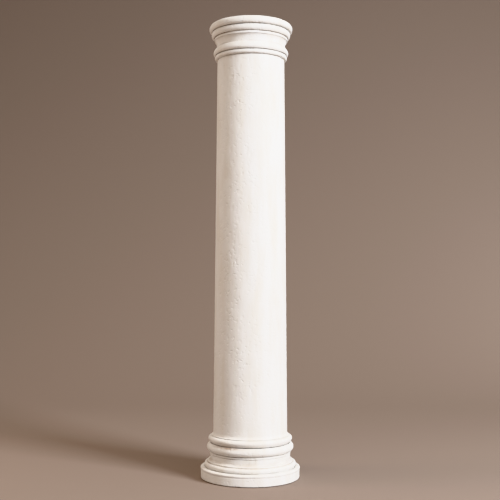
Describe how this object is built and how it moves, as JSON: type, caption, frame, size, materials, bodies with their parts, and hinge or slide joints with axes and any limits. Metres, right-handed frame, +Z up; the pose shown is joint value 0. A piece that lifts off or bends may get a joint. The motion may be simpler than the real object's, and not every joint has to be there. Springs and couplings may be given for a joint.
{
  "type": "round column",
  "caption": "Plain unfluted round column with a tapered shaft, a moulded base on a round plinth and a moulded capital under a round abacus.",
  "frame": {"origin": "middle of the plinth's underside, on the floor", "axes": "+Z up along the column's axis; the column is round, so +X and +Y are any two level directions at right angles"},
  "size_m": [0.528, 0.528, 2.4],
  "materials": {
    "cast_stone": "white, fine-grained, rubbed smooth and matt"
  },
  "bodies": {
    "root": {"base": "cast_stone", "shaft": "cast_stone", "capital": "cast_stone"}
  },
  "joints": []
}
